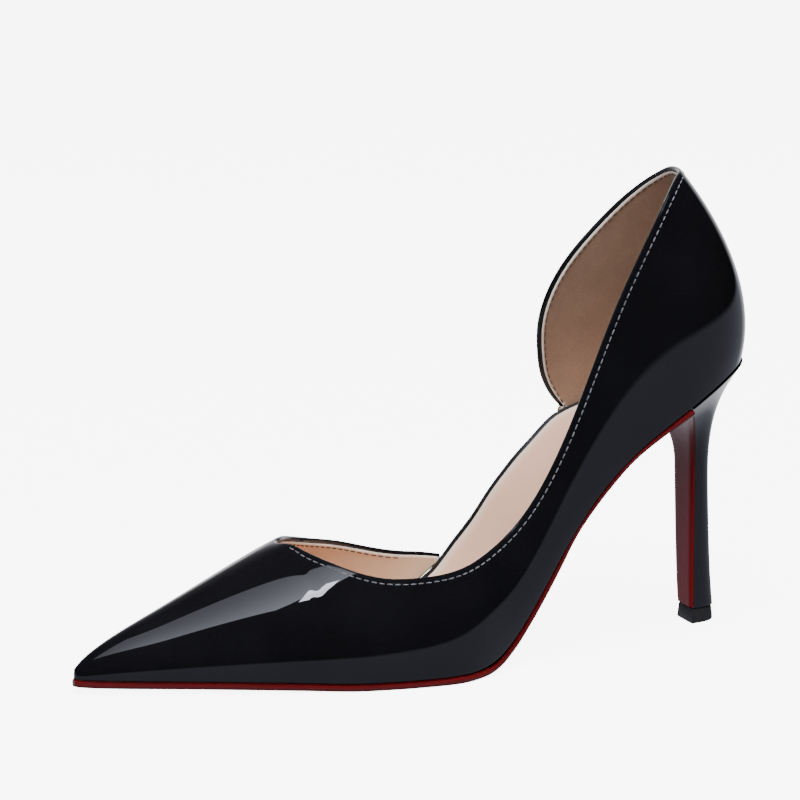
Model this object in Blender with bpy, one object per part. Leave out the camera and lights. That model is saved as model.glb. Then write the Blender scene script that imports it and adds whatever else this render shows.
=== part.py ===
"""Left dorsay pump with a pointed toe, a closed outer side, an open arch side and a slim high heel.

Lengths are in millimetres here and become metres when a mesh is made. A place on the shoe is given
by u, level with the floor from the toe tip to the back, v, across and positive on the arch side, and
z, up from the floor. The finished shoe stands with its toe at -X and the arch side at +Y.
"""

import math

import bmesh
import bpy
import numpy as np
from mathutils import Vector

MM = 0.001

# Sizes of the last
LENGTH = 232.0
BALL_WIDTH = 75.0
WAIST_WIDTH = 50.0
SEAT_WIDTH = 50.0
SEAT_ROUND = 34.0
HEEL_HEIGHT = 90.0
TOE_SPRING = 2.2
ARCH_TWIST = 9.0
ARCH_RISE = 3.5
INSTEP_HEIGHT = 40.0
COUNTER_HEIGHT = 63.5
COUNTER_LEAN = 25.0
SIDE_SWELL = 6.0

# Thicknesses
WALL = 1.6
SOLE = 2.2
SOLE_SHANK = 1.7
EDGE_STEP = 0.5
INSOLE = 2.0
BED = 0.5
SOCK = 0.9
FLAP = 0.9
GAP = 0.3

# Heel and top piece. The breast is the heel's front face, and both places of it are set forward of
# the shoe's back, under the seat and down the stem, which rakes back to the floor.
SEAT_FORWARD = 28.5
STEM_FORWARD = 18.9
STEM_RAKE = 1.5
STEM_SIDE = -1.5
STEM_DEPTH = 7.4
STEM_WIDTH = 13.6
STEM_TOP = 52.0
TIP_DEPTH = 9.2
TIP_WIDTH = 9.8
TOP_PIECE = 5.0
TOP_PIECE_FLARE = 0.5
TOP_PIECE_ROUND = 0.4
FLARE_RISE = 0.53
FLARE_DROP = 0.25
FLARE_REACH = 0.60

# Insole and sock
INSOLE_TOE = 10.0
TOE_TUCK = 1.6
TOE_TUCK_END = 60.0
CUT_STEP = 3.0
CUT_EDGE = 0.2
SOCK_TOE = 16.0
SOCK_MARGIN = 1.3

# Feather line seen from above: share of LENGTH, outer and inner half widths as shares of half a width
OUTLINE = (
    # along, outer, inner, of
    (0.000, 0.000, 0.000, "ball"),
    (0.009, 0.080, 0.080, "ball"),
    (0.026, 0.142, 0.135, "ball"),
    (0.065, 0.250, 0.228, "ball"),
    (0.129, 0.405, 0.385, "ball"),
    (0.216, 0.615, 0.600, "ball"),
    (0.302, 0.810, 0.800, "ball"),
    (0.379, 0.950, 0.925, "ball"),
    (0.435, 1.015, 0.950, "ball"),
    (0.491, 1.045, 0.865, "ball"),
    (0.534, 0.990, 0.740, "ball"),
    (0.586, 1.265, 0.980, "waist"),
    (0.647, 1.110, 0.890, "waist"),
    (0.711, 1.040, 0.890, "waist"),
    (0.780, 1.020, 0.950, "seat"),
    (0.853, 1.020, 0.980, "seat"),
)

# Underside along the middle: shares of TOE_SPRING, of the rise to HEEL_HEIGHT, of ARCH_TWIST and of
# ARCH_RISE, which lifts the arch side's edge
PROFILE = (
    # along, spring, rise, twist, arch
    (0.000, 1.00, 0.000, 0.0, 0.0),
    (0.160, 0.72, 0.000, 0.0, 0.0),
    (0.284, 0.36, 0.000, 0.0, 0.0),
    (0.366, 0.00, 0.000, 0.3, 0.0),
    (0.470, 0.00, 0.000, 1.0, 0.0),
    (0.509, 0.00, 0.006, 1.0, 0.3),
    (0.534, 0.00, 0.023, 1.0, 0.7),
    (0.560, 0.00, 0.063, 1.0, 1.0),
    (0.588, 0.00, 0.132, 0.9, 1.0),
    (0.621, 0.00, 0.233, 0.8, 1.0),
    (0.647, 0.00, 0.328, 0.7, 1.0),
    (0.677, 0.00, 0.446, 0.6, 1.1),
    (0.707, 0.00, 0.538, 0.5, 1.3),
    (0.737, 0.00, 0.618, 0.4, 1.3),
    (0.772, 0.00, 0.701, 0.3, 1.1),
    (0.815, 0.00, 0.773, 0.1, 0.5),
    (0.862, 0.00, 0.842, 0.0, 0.0),
    (0.909, 0.00, 0.912, 0.0, 0.0),
    (0.957, 0.00, 0.970, 0.0, 0.0),
    (1.000, 0.00, 1.000, 0.0, 0.0),
)

# Ribs of the upper from the feather line up to the ridge or the collar. Lean is a share of COUNTER_LEAN,
# reach and spread of the half width, swell of SIDE_SWELL, steep and drop of the rib's height.
RIBS = (
    # along, lean, reach, height, of, swell, steep, spread, drop
    (0.000, 0.00, 0.00, 0.060, "instep", 0.00, 0.40, 0.50, 0.35),
    (0.008, 0.00, 0.00, 0.124, "instep", 0.05, 0.45, 0.55, 0.15),
    (0.024, 0.00, 0.00, 0.200, "instep", 0.10, 0.50, 0.52, 0.07),
    (0.048, 0.00, 0.00, 0.292, "instep", 0.15, 0.50, 0.50, 0.05),
    (0.119, 0.00, 0.00, 0.506, "instep", 0.25, 0.50, 0.50, 0.05),
    (0.279, 0.00, 0.00, 1.000, "instep", 0.35, 0.48, 0.52, 0.05),
    (0.338, 0.00, 0.00, 1.170, "instep", 0.40, 0.46, 0.54, 0.05),
    (0.398, 0.00, 0.02, 1.320, "instep", 0.45, 0.44, 0.54, 0.07),
    (0.457, 0.00, 0.20, 1.400, "instep", 0.50, 0.42, 0.46, 0.12),
    (0.517, 0.02, 0.48, 0.840, "counter", 0.55, 0.40, 0.32, 0.24),
    (0.577, 0.06, 0.68, 0.770, "counter", 0.60, 0.38, 0.20, 0.32),
    (0.636, 0.13, 0.76, 0.800, "counter", 0.65, 0.36, 0.13, 0.34),
    (0.696, 0.24, 0.77, 0.930, "counter", 0.75, 0.35, 0.10, 0.34),
    (0.756, 0.40, 0.75, 1.080, "counter", 0.85, 0.35, 0.08, 0.32),
    (0.815, 0.60, 0.73, 1.150, "counter", 0.95, 0.35, 0.06, 0.30),
    (0.875, 0.82, 0.73, 1.110, "counter", 1.00, 0.35, 0.03, 0.28),
    (0.935, 0.95, 0.75, 1.050, "counter", 1.00, 0.35, 0.01, 0.27),
    (1.000, 1.00, 0.76, 1.020, "counter", 1.00, 0.35, 0.00, 0.27),
)
LEAN_HANDLE = 0.64

# Top edge of the closed outer side, from the throat to the back of the collar, as a share of each rib
OUTER_EDGE = (
    # along, cut
    (0.281, 1.000),
    (0.284, 0.915),
    (0.290, 0.820),
    (0.302, 0.730),
    (0.327, 0.610),
    (0.358, 0.510),
    (0.396, 0.460),
    (0.434, 0.455),
    (0.472, 0.490),
    (0.520, 0.610),
    (0.560, 0.655),
    (0.600, 0.640),
    (0.640, 0.645),
    (0.673, 0.710),
    (0.720, 0.775),
    (0.770, 0.815),
    (0.820, 0.870),
    (0.870, 0.920),
    (0.920, 0.960),
    (1.000, 0.980),
)

# Top edge of the vamp on the arch side, from the throat down to the insole
INNER_VAMP_EDGE = (
    # along, cut
    (0.281, 1.000),
    (0.284, 0.915),
    (0.290, 0.820),
    (0.302, 0.730),
    (0.330, 0.600),
    (0.358, 0.510),
    (0.400, 0.435),
    (0.440, 0.365),
    (0.472, 0.295),
    (0.500, 0.205),
    (0.523, 0.110),
    (0.541, 0.030),
)

# Front and top edge of the quarter on the arch side. A rib runs from foot to top and ends at cut.
INNER_QUARTER_EDGE = (
    # order, foot, top, cut
    (0.00, 0.716, 0.713, 0.030),
    (0.06, 0.721, 0.699, 0.125),
    (0.11, 0.727, 0.688, 0.250),
    (0.16, 0.733, 0.681, 0.375),
    (0.21, 0.740, 0.679, 0.500),
    (0.26, 0.748, 0.678, 0.620),
    (0.31, 0.757, 0.682, 0.710),
    (0.36, 0.768, 0.695, 0.762),
    (0.43, 0.786, 0.722, 0.792),
    (0.51, 0.812, 0.765, 0.800),
    (0.60, 0.850, 0.815, 0.805),
    (0.70, 0.890, 0.865, 0.835),
    (0.80, 0.930, 0.915, 0.895),
    (0.90, 0.970, 0.962, 0.955),
    (1.00, 1.000, 1.000, 0.980),
)

# Shaping
MERGE = 0.001
SHARP_ANGLE = 40.0
TOE_CROWD = 1.7
THROAT_CROWD = 1.5
SHANK_FROM = 0.49
SHANK_TO = 0.62
SOLE_TIP = 0.3
SEAT_PLATE_END = 0.94
STEM_TAPER = 0.6
BACK_SQUARE = 0.9
RIM_INSET = 0.2
SEAT_SLANT = 1.2
FLAP_FOOT = 0.01
SLOPE_REACH = 0.5
LEVEL_STEP = 0.005
SOLE_EDGE_TOP = 0.30
SOLE_EDGE_FOOT = 0.75
BOARD_EDGE_TOP = 0.75
BOARD_EDGE_FOOT = 0.35
SOCK_EDGE_TOP = 0.5
FLAP_COVER = 0.5

# Grid counts
RIB_STEPS = 8
VAMP_STEPS = 20
OUTER_STEPS = 34
WING_STEPS = 11
QUARTER_STEPS = 20
SOLE_STEPS = 56
ACROSS_STEPS = 8
STEM_RINGS = 5
FLARE_RINGS = 8
BREAST_STEPS = 4
BACK_STEPS = 24
FLAP_RINGS = 12

SEAT_START = LENGTH - SEAT_ROUND
SEAT_BREAST = LENGTH - SEAT_FORWARD
STEM_BREAST = LENGTH - STEM_FORWARD
STATION_END = SEAT_START + SEAT_ROUND * math.pi / 2
INNER, OUTER = 1, -1


def smooth_row(rows, at):
    """Values of a table at a place between its rows, through a curve that never overshoots a row."""
    data = np.array(rows, float)
    x = data[:, 0]
    y = data[:, 1:]
    if at <= x[0]:
        return y[0]
    if at >= x[-1]:
        return y[-1]
    h = np.diff(x)[:, None]
    slope = np.diff(y, axis=0) / h
    tangent = np.zeros_like(y)
    same = slope[:-1] * slope[1:] > 0
    w1 = 2 * h[1:] + h[:-1]
    w2 = h[1:] + 2 * h[:-1]
    safe = np.where(same, slope[:-1], 1.0), np.where(same, slope[1:], 1.0)
    tangent[1:-1] = np.where(same, (w1 + w2) / (w1 / safe[0] + w2 / safe[1]), 0.0)
    tangent[0] = slope[0]
    tangent[-1] = slope[-1]
    k = int(np.searchsorted(x, at)) - 1
    step = x[k + 1] - x[k]
    f = (at - x[k]) / step
    blend = f * f * (3 - 2 * f)
    return (y[k] * (1 - blend) + y[k + 1] * blend
            + step * f * (1 - f) * ((1 - f) * tangent[k] - f * tangent[k + 1]))


def half_widths(u):
    """Outer and inner half widths of the feather line at u, read against the root of the length."""
    widths = {"ball": BALL_WIDTH / 2, "waist": WAIST_WIDTH / 2, "seat": SEAT_WIDTH / 2}
    rows = []
    for along, outer, inner, of in OUTLINE:
        rows.append((math.sqrt(along), outer * widths[of], inner * widths[of]))
    outer, inner = smooth_row(rows, math.sqrt(max(u, 0.0) / LENGTH))
    return {OUTER: outer, INNER: inner}


def foot(side, station, inset=0.0):
    """Plan place of the feather line at a station, moved inward by inset."""
    half = half_widths(min(station, SEAT_START))[side]
    if station <= SEAT_START:
        return np.array([station, side * max(half - inset, 0.0)])
    turn = (station - SEAT_START) / SEAT_ROUND
    along = (SEAT_ROUND - inset) * math.sin(turn)
    return np.array([SEAT_START + along, side * (half - inset) * math.cos(turn)])


def outward(side, station):
    """Plan direction out of the shoe: straight across, then turning to the back round the seat."""
    if station <= SEAT_START:
        return np.array([0.0, side, 0.0])
    turn = (station - SEAT_START) / SEAT_ROUND
    half = half_widths(SEAT_START)[side]
    way = np.array([math.sin(turn) / SEAT_ROUND, side * math.cos(turn) / half, 0.0])
    return way / np.linalg.norm(way)


def bottom_height(u, v):
    """Height of the plane under the insole, which the outsole's top follows a gap lower."""
    spring, _, twist, arch = smooth_row(PROFILE, u / LENGTH)
    moved = u + ARCH_TWIST * twist * v / (BALL_WIDTH / 2)
    rise = smooth_row(PROFILE, moved / LENGTH)[1]
    base = GAP + SOLE
    lifted = 0.0
    if arch > 0 and v > 0:
        lifted = ARCH_RISE * arch * (v / half_widths(min(u, SEAT_START))[INNER]) ** 2
    return base + TOE_SPRING * spring + (HEEL_HEIGHT - base) * rise + lifted


def deck(u, v, lift):
    """Point over the bottom by lift, square to it. A negative lift is a depth under it."""
    reach = SLOPE_REACH
    along = (bottom_height(u + reach, v) - bottom_height(u - reach, v)) / (2 * reach)
    across = (bottom_height(u, v + reach) - bottom_height(u, v - reach)) / (2 * reach)
    up = np.array([-along, -across, 1.0])
    return np.array([u, v, bottom_height(u, v)]) + up / np.linalg.norm(up) * lift


def rib(side, station):
    """Four control points of the rib that rises from the feather line at a station."""
    tall = {"instep": INSTEP_HEIGHT, "counter": COUNTER_HEIGHT}
    rows = [(row[0], row[1], row[2], row[3] * tall[row[4]]) + row[5:] for row in RIBS]
    lean, reach, height, swell, steep, spread, drop = smooth_row(rows, station / STATION_END)
    u, v = foot(side, station)
    start = np.array([u, v, bottom_height(u, v)])
    shift = lean * COUNTER_LEAN
    end = np.array([u - shift, v * reach, start[2] + height])
    out = outward(side, station)
    rise = start + out * swell * SIDE_SWELL + np.array([0.0, 0.0, steep * height])
    handle = np.array([shift * LEAN_HANDLE, 0.0, -drop * height])
    return start, rise, end + out * spread * abs(v) + handle, end


def on_rib(points, t):
    a, b, c, d = points
    s = 1 - t
    return a * s ** 3 + b * 3 * s * s * t + c * 3 * s * t * t + d * t ** 3


def skin(name, strip):
    """Sheet from a strip of ribs, each a row of points. Ribs that meet on the ridge share its points."""
    bm = bmesh.new()
    rows = [[bm.verts.new(Vector(point) * MM) for point in row] for row in strip]
    for row, after in zip(rows, rows[1:]):
        for a, b, c, d in zip(row, after, after[1:], row[1:]):
            bm.faces.new((a, b, c, d))
    bmesh.ops.remove_doubles(bm, verts=bm.verts, dist=MERGE * MM)
    mesh = bpy.data.meshes.new(name)
    bm.to_mesh(mesh)
    bm.free()
    return mesh


def loft(name, rings, cap_first, cap_last):
    """Closed body through rings of points. A cap is a list of faces, each a list of ring places."""
    bm = bmesh.new()
    rows = [[bm.verts.new(Vector(point) * MM) for point in ring] for ring in rings]
    count = len(rows[0])
    for row, after in zip(rows, rows[1:]):
        for k in range(count):
            bm.faces.new((row[k], row[(k + 1) % count], after[(k + 1) % count], after[k]))
    for places in cap_first:
        bm.faces.new([rows[0][k] for k in places])
    for places in cap_last:
        bm.faces.new([rows[-1][k] for k in places])
    bmesh.ops.recalc_face_normals(bm, faces=bm.faces)
    mesh = bpy.data.meshes.new(name)
    bm.to_mesh(mesh)
    bm.free()
    return mesh


def add_object(name, mesh, colour, roughness, coat=0.0):
    material = bpy.data.materials.new(name)
    material.use_nodes = True
    shader = material.node_tree.nodes["Principled BSDF"]
    shader.inputs["Base Color"].default_value = (*colour, 1.0)
    shader.inputs["Roughness"].default_value = roughness
    shader.inputs["Metallic"].default_value = 0.0
    shader.inputs["Coat Weight"].default_value = coat
    mesh.materials.append(material)
    mesh.shade_smooth()
    mesh.set_sharp_from_angle(angle=math.radians(SHARP_ANGLE))
    obj = bpy.data.objects.new(name, mesh)
    bpy.context.scene.collection.objects.link(obj)
    return obj


def rib_row(side, low, top, cut):
    """Points of one rib of the upper, from station low at the feather line to station top at its edge."""
    points = []
    for k in range(RIB_STEPS + 1):
        way = k / RIB_STEPS
        points.append(on_rib(rib(side, low + (top - low) * way), cut * way))
    return points


def crowded(first, last, steps):
    """Places after the first one up to the last, closer together near the first."""
    return [first + (last - first) * (k / steps) ** THROAT_CROWD for k in range(1, steps + 1)]


def upper_strip():
    """Ribs of the upper in order: arch side vamp, toe, closed outer side, heel, arch side quarter."""
    throat = OUTER_EDGE[0][0]
    wing_end = INNER_VAMP_EDGE[-1][0]
    vamp = [throat * (k / VAMP_STEPS) ** TOE_CROWD for k in range(VAMP_STEPS + 1)]
    wing = crowded(throat, wing_end, WING_STEPS)
    outer = crowded(throat, 1.0, OUTER_STEPS)
    strip = []
    for along in reversed(wing):
        strip.append((INNER, along, along, smooth_row(INNER_VAMP_EDGE, along)[0]))
    for along in reversed(vamp[1:]):
        strip.append((INNER, along, along, 1.0))
    for along in vamp:
        strip.append((OUTER, along, along, 1.0))
    for along in outer:
        strip.append((OUTER, along, along, smooth_row(OUTER_EDGE, along)[0]))
    for k in range(1, QUARTER_STEPS + 1):
        low, top, cut = smooth_row(INNER_QUARTER_EDGE, 1 - k / QUARTER_STEPS)
        strip.append((INNER, low, top, cut))
    return [rib_row(side, low * STATION_END, top * STATION_END, cut) for side, low, top, cut in strip]


def build_upper():
    """One leather wall: vamp, closed outer side, counter and the arch side's quarter."""
    upper = add_object("upper", skin("upper", upper_strip()), (0.008, 0.008, 0.010), 0.08, 1.0)
    wall = upper.modifiers.new("Wall", "SOLIDIFY")
    wall.thickness = WALL * MM
    wall.offset = -1.0
    wall.use_even_offset = False
    wall.use_rim = True
    return upper


def station_of(u):
    """Station whose feather line is at u, round the seat as well."""
    if u <= SEAT_START:
        return u
    return SEAT_START + SEAT_ROUND * math.asin(min((u - SEAT_START) / SEAT_ROUND, 1.0))


def plate_ring(station, insets, edge):
    """Ring of a plate at a station. Edge rows are lift and outset, from its top to its underside."""
    ring = []
    top, under = edge[0], edge[-1]
    ends = {side: foot(side, station, insets[side] - top[1]) for side in (OUTER, INNER)}
    for k in range(ACROSS_STEPS + 1):
        u, v = ends[OUTER] + (ends[INNER] - ends[OUTER]) * k / ACROSS_STEPS
        ring.append(deck(u, v, top[0]))
    for lift, outset in edge[1:-1]:
        ring.append(deck(*foot(INNER, station, insets[INNER] - outset), lift))
    ends = {side: foot(side, station, insets[side] - under[1]) for side in (OUTER, INNER)}
    for k in range(ACROSS_STEPS + 1):
        u, v = ends[INNER] + (ends[OUTER] - ends[INNER]) * k / ACROSS_STEPS
        ring.append(deck(u, v, under[0]))
    for lift, outset in reversed(edge[1:-1]):
        ring.append(deck(*foot(OUTER, station, insets[OUTER] - outset), lift))
    return ring


def plate_stations(first, last):
    """Stations of a plate, the same for every plate that it lies on, with its own two ends."""
    step = STATION_END / SOLE_STEPS
    shared = [step * k for k in range(1, SOLE_STEPS)]
    return [first] + [place for place in shared if first + step / 3 < place < last - step / 3] + [last]


def whole_cap(count):
    return [list(range(count))]


def sole_thickness(u):
    """Full under the tread and thinner under the shank."""
    share = min(max((u / LENGTH - SHANK_FROM) / (SHANK_TO - SHANK_FROM), 0.0), 1.0)
    return SOLE + (SOLE_SHANK - SOLE) * share * share * (3 - 2 * share)


def build_outsole():
    """Red sole from the toe tip to the heel's breast, flat on the floor under the tread."""
    rings = []
    for station in plate_stations(SOLE_TIP, station_of(SEAT_BREAST - GAP)):
        thick = sole_thickness(station)
        edge = (
            (-GAP, -EDGE_STEP),
            (-GAP - thick * SOLE_EDGE_TOP, 0.0),
            (-GAP - thick * SOLE_EDGE_FOOT, 0.0),
            (-GAP - thick, -EDGE_STEP),
        )
        rings.append(plate_ring(station, {OUTER: 0.0, INNER: 0.0}, edge))
    caps = whole_cap(len(rings[0]))
    return add_object("outsole", loft("outsole", rings, caps, caps), (0.36, 0.010, 0.010), 0.25, 0.6)


def insole_insets(station):
    """Room that the insole leaves inside the wall. It comes out to the edge at the arch's opening."""
    tuck = TOE_TUCK * max(1 - station / TOE_TUCK_END, 0.0)
    inside = WALL + GAP + tuck
    start = INNER_VAMP_EDGE[-1][0] * STATION_END + GAP
    stop = INNER_QUARTER_EDGE[0][1] * STATION_END - GAP
    into = min(max((station - start) / CUT_STEP, 0.0), 1.0)
    out = min(max((stop - station) / CUT_STEP, 0.0), 1.0)
    open_share = min(into, out)
    return {OUTER: inside, INNER: inside + (CUT_EDGE - inside) * open_share}


def build_insole():
    """Board that the upper is lasted round, wrapped in black. Its edge shows at the arch."""
    rings = []
    last = SEAT_START + (STATION_END - SEAT_START) * SEAT_PLATE_END
    for station in plate_stations(INSOLE_TOE, last):
        upright = ((INSOLE * BOARD_EDGE_TOP, 0.0), (INSOLE * BOARD_EDGE_FOOT, 0.0))
        edge = ((INSOLE, -GAP), *upright, (BED - GAP, -GAP))
        rings.append(plate_ring(station, insole_insets(station), edge))
    caps = whole_cap(len(rings[0]))
    return add_object("insole", loft("insole", rings, caps, caps), (0.010, 0.009, 0.009), 0.35)


def build_sock():
    """Leather sock laid on the insole, a margin in from its edge."""
    rings = []
    last = SEAT_START + (STATION_END - SEAT_START) * SEAT_PLATE_END
    for station in plate_stations(SOCK_TOE, last):
        insets = insole_insets(station)
        moved = {side: insets[side] + SOCK_MARGIN for side in insets}
        low = INSOLE + BED
        edge = ((low + SOCK, -GAP), (low + SOCK * SOCK_EDGE_TOP, 0.0), (low, 0.0))
        rings.append(plate_ring(station, moved, edge))
    caps = whole_cap(len(rings[0]))
    return add_object("sock_lining", loft("sock_lining", rings, caps, caps), (0.62, 0.42, 0.33), 0.45)


def stem_place(z, around):
    """Point of the heel's stem: a flat breast, then a round back from the arch side to the outer side."""
    share = min(max((z - TOP_PIECE) / (STEM_TOP - TOP_PIECE), 0.0), 1.0)
    share = share ** STEM_TAPER
    width = TIP_WIDTH + (STEM_WIDTH - TIP_WIDTH) * share
    depth = TIP_DEPTH + (STEM_DEPTH - TIP_DEPTH) * share
    breast = STEM_BREAST + STEM_RAKE * (1 - share)
    front = BREAST_STEPS / (BREAST_STEPS + BACK_STEPS)
    if around <= front:
        across = 2 * around / front - 1
        return np.array([breast, STEM_SIDE + across * width / 2, z])
    turn = math.pi * (around - front) / (1 - front)
    back = math.sin(turn) ** BACK_SQUARE
    return np.array([breast + depth * back, STEM_SIDE + math.cos(turn) * width / 2, z])


def seat_place(around):
    """Point of the heel's rim under the seat, in step with stem_place."""
    front = BREAST_STEPS / (BREAST_STEPS + BACK_STEPS)
    first = station_of(SEAT_BREAST)
    if around <= front:
        share = around / front
        u, v = foot(OUTER, first, RIM_INSET) * (1 - share) + foot(INNER, first, RIM_INSET) * share
        return deck(u, v, -GAP)
    turn = 2 * (around - front) / (1 - front)
    side = INNER if turn <= 1 else OUTER
    share = turn if turn <= 1 else 2 - turn
    return deck(*foot(side, first + (STATION_END - first) * share, RIM_INSET), -GAP)


def heel_place(level, around):
    """Point of the heel: level 0 to 1 up the stem, then 1 to 2 out along the flare to the seat."""
    if level <= 1:
        low = TOP_PIECE + GAP
        return stem_place(low + (STEM_TOP - low) * level, around)
    start = stem_place(STEM_TOP, around)
    end = seat_place(around)
    tall = end[2] - start[2]
    side = (start - end) * np.array([1.0, 1.0, 0.0])
    rise = start + np.array([0.0, 0.0, FLARE_RISE * tall])
    fall = end + side * FLARE_REACH - np.array([0.0, 0.0, FLARE_DROP * tall])
    return on_rib((start, rise, fall, end), level - 1)


def heel_levels():
    stem = [k / STEM_RINGS for k in range(STEM_RINGS)]
    return stem + [1 + k / FLARE_RINGS for k in range(FLARE_RINGS + 1)]


def build_heel():
    """Slim heel in black, with a D-shaped stem that flares out to the seat."""
    count = BREAST_STEPS + BACK_STEPS
    rings = [[heel_place(level, k / count) for k in range(count)] for level in heel_levels()]
    seat = [list(range(BREAST_STEPS + 1)) + [BREAST_STEPS + 1, count - 1]]
    for k in range(1, BACK_STEPS // 2 - 1):
        seat.append([BREAST_STEPS + k, BREAST_STEPS + k + 1, count - k - 1, count - k])
    middle = BREAST_STEPS + BACK_STEPS // 2
    seat.append([middle - 1, middle, middle + 1])
    mesh = loft("heel", rings, whole_cap(count), seat)
    return add_object("heel", mesh, (0.012, 0.012, 0.015), 0.12, 1.0)


def flap_ring(level):
    """Section of the breast's red cover at a level of the heel, square to the breast."""
    count = BREAST_STEPS + BACK_STEPS
    faces = []
    for k in range(BREAST_STEPS + 1):
        here = heel_place(level, k / count)
        side_way = heel_place(level, BREAST_STEPS / count) - heel_place(level, 0.0)
        up_way = heel_place(level + LEVEL_STEP, k / count) - heel_place(level - LEVEL_STEP, k / count)
        forward = np.cross(up_way, side_way)
        forward *= -1 if forward[0] > 0 else 1
        faces.append((here, forward / np.linalg.norm(forward)))
    ring = [here + forward * GAP for here, forward in faces]
    ring += [here + forward * (GAP + FLAP) for here, forward in reversed(faces)]
    return ring


def flap_top():
    """Highest level of the flap, a gap under the outsole's underside."""
    level = 2.0
    depth = GAP + sole_thickness(SEAT_BREAST) + GAP
    while True:
        corner = heel_place(level, 0.0)
        lift = corner[2] - bottom_height(corner[0], corner[1])
        if lift <= -depth * SEAT_SLANT:
            return level
        level -= LEVEL_STEP


def build_flap():
    """Red leather flap that carries the sole on down the heel's breast."""
    top = flap_top()
    rings = []
    for k in range(FLAP_RINGS + 1):
        rings.append(flap_ring(FLAP_FOOT + (top - FLAP_FOOT) * k / FLAP_RINGS))
    caps = whole_cap(len(rings[0]))
    mesh = loft("breast_flap", rings, caps, caps)
    return add_object("breast_flap", mesh, (0.36, 0.010, 0.010), 0.25, 0.6)


def build_top_piece():
    """Black rubber tip under the heel, a little wider at the floor."""
    count = BREAST_STEPS + BACK_STEPS
    middle = np.array([STEM_BREAST + STEM_RAKE + TIP_DEPTH / 2, STEM_SIDE, 0.0])
    rows = (
        (0.0, TOP_PIECE_FLARE - TOP_PIECE_ROUND),
        (TOP_PIECE_ROUND, TOP_PIECE_FLARE),
        (TOP_PIECE, 0.0),
    )
    rings = []
    for z, flare in rows:
        ring = []
        for k in range(count):
            point = stem_place(TOP_PIECE, k / count)
            out = (point - middle) * np.array([1.0, 1.0, 0.0])
            point = point + out / np.linalg.norm(out) * flare
            ring.append(np.array([point[0] - (GAP + FLAP) * FLAP_COVER, point[1], z]))
        rings.append(ring)
    caps = whole_cap(count)
    return add_object("top_piece", loft("top_piece", rings, caps, caps), (0.008, 0.008, 0.008), 0.55)


def centre(objects):
    """Moves the meshes so that the shoe's box is centred over the origin, as it stands on the floor."""
    bpy.context.view_layer.update()
    graph = bpy.context.evaluated_depsgraph_get()
    corners = []
    for obj in objects:
        mesh = obj.evaluated_get(graph).to_mesh()
        corners.extend(vertex.co.copy() for vertex in mesh.vertices)
    middle = Vector((0.0, 0.0, 0.0))
    for axis in (0, 1):
        middle[axis] = (min(c[axis] for c in corners) + max(c[axis] for c in corners)) / 2
    for obj in objects:
        for vertex in obj.data.vertices:
            vertex.co -= middle


def build():
    for obj in list(bpy.data.objects):
        bpy.data.objects.remove(obj, do_unlink=True)
    objects = [
        build_upper(),
        build_outsole(),
        build_insole(),
        build_sock(),
        build_heel(),
        build_flap(),
        build_top_piece(),
    ]
    centre(objects)


build()
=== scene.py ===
import math

import bmesh
import bpy
import numpy as np
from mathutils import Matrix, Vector


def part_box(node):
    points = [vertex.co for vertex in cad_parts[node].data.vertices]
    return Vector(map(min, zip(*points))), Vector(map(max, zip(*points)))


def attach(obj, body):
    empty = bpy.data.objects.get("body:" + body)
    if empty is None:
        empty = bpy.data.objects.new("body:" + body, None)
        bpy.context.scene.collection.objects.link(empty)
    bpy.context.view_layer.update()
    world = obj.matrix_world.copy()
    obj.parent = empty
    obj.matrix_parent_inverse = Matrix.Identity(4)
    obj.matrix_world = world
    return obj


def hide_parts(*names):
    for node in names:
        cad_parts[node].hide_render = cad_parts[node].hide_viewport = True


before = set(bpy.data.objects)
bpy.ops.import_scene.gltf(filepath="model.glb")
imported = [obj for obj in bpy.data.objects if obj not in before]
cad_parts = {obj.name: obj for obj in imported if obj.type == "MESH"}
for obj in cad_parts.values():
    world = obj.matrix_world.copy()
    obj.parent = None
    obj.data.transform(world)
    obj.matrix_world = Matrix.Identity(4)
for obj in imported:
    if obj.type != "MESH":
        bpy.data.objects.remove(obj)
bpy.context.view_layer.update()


# Insole. A board moulded to the underside of the last and wrapped in thin black leather. The upper is
# drawn over its edge all round, so that the edge itself shows only where the arch side is cut away.
# A place on the shoe is u from the toe tip, v across and positive on the arch side, and z, in mm.

MM = 0.001
LENGTH = 232.0
BALL_WIDTH = 75.0
WAIST_WIDTH = 50.0
SEAT_WIDTH = 50.0
SEAT_ROUND = 34.0
HEEL_HEIGHT = 90.0
TOE_SPRING = 2.2
ARCH_TWIST = 9.0
ARCH_RISE = 3.5
SOLE = 2.2
GAP = 0.3
WALL = 1.6
INSOLE = 2.0
BED = 0.5
INSOLE_TOE = 10.0
TOE_TUCK = 1.6
TOE_TUCK_END = 60.0
OPEN_FROM = 133.0
OPEN_TO = 184.0
CUT_STEP = 8.0
CUT_EDGE = 0.2
SEAT_START = LENGTH - SEAT_ROUND
STATION_END = SEAT_START + SEAT_ROUND * math.pi / 2
PLATE_SHARE = 0.94
SEAT_PLATE_END = SEAT_START + (STATION_END - SEAT_START) * PLATE_SHARE
INNER, OUTER = 1, -1
PLATE_STEPS = 150
ACROSS_STEPS = 16
SLOPE_REACH = 0.5
BOARD_SMOOTH = 35.0


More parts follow.
